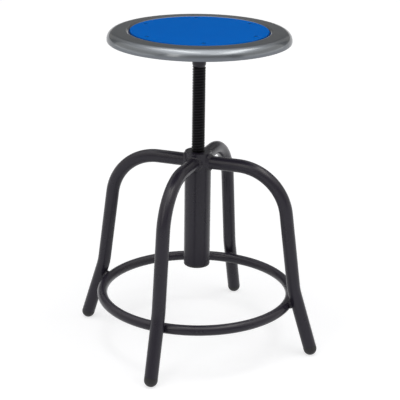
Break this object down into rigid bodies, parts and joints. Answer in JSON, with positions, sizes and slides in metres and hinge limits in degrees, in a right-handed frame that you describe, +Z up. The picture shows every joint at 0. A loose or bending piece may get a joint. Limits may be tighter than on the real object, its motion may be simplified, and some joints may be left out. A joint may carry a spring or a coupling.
{
  "type": "laboratory stool",
  "caption": "Backless laboratory stool: round steel seat with a plastic insert on a screw that raises it when turned, over bent tube legs and a foot ring.",
  "frame": {"origin": "on the floor under the axis of the post", "axes": "+Z up along the post, -Y towards the front leg, +X towards the right leg"},
  "size_m": [0.4792, 0.4792, 0.594],
  "materials": {
    "pan_paint": "satin silver grey",
    "insert_plastic": "smooth blue",
    "rivet_blue": "blue lacquered rivet",
    "frame_paint": "satin black powder coat",
    "screw_black": "blackened steel",
    "bright_steel": "zinc plated",
    "black_plastic": "satin black",
    "bush_nylon": "natural nylon",
    "buffer_rubber": "matt black"
  },
  "bodies": {
    "base": {"post_tube": "frame_paint", "post_nut": "frame_paint", "post_cap": "black_plastic", "stop_buffer": "buffer_rubber", "leg_front": "frame_paint", "leg_right": "frame_paint", "leg_back": "frame_paint", "leg_left": "frame_paint", "glide_front": "black_plastic", "glide_right": "black_plastic", "glide_back": "black_plastic", "glide_left": "black_plastic", "foot_ring": "frame_paint", "leg_welds": "frame_paint", "ring_welds": "frame_paint"},
    "guide": {"guide_bush": "bush_nylon"},
    "seat": {"lift_screw": "screw_black", "end_washer": "bright_steel", "end_bolt": "bright_steel", "seat_hub": "frame_paint", "hub_pin": "bright_steel", "hub_ribs": "frame_paint", "seat_plate": "frame_paint", "pan_studs": "bright_steel", "stud_washers": "bright_steel", "stud_nuts": "bright_steel", "seat_pan": "pan_paint", "seat_insert": "insert_plastic", "insert_rivets": "rivet_blue"}
  },
  "joints": [
    {"name": "seat_lift", "type": "slide", "parent": "base", "child": "guide", "axis": [0, 0, 1], "range_m": [-0.137, 0.0157]},
    {"name": "seat_turn", "type": "hinge", "parent": "guide", "child": "seat", "pos_m": [0, 0, 0.35], "axis": [0, 0, 1], "range_deg": [-9849.6, 1123.2]}
  ],
  "couplings": [
    {"joint": "seat_lift", "follows": "seat_turn", "m_per_rad": 0.00079577}
  ]
}
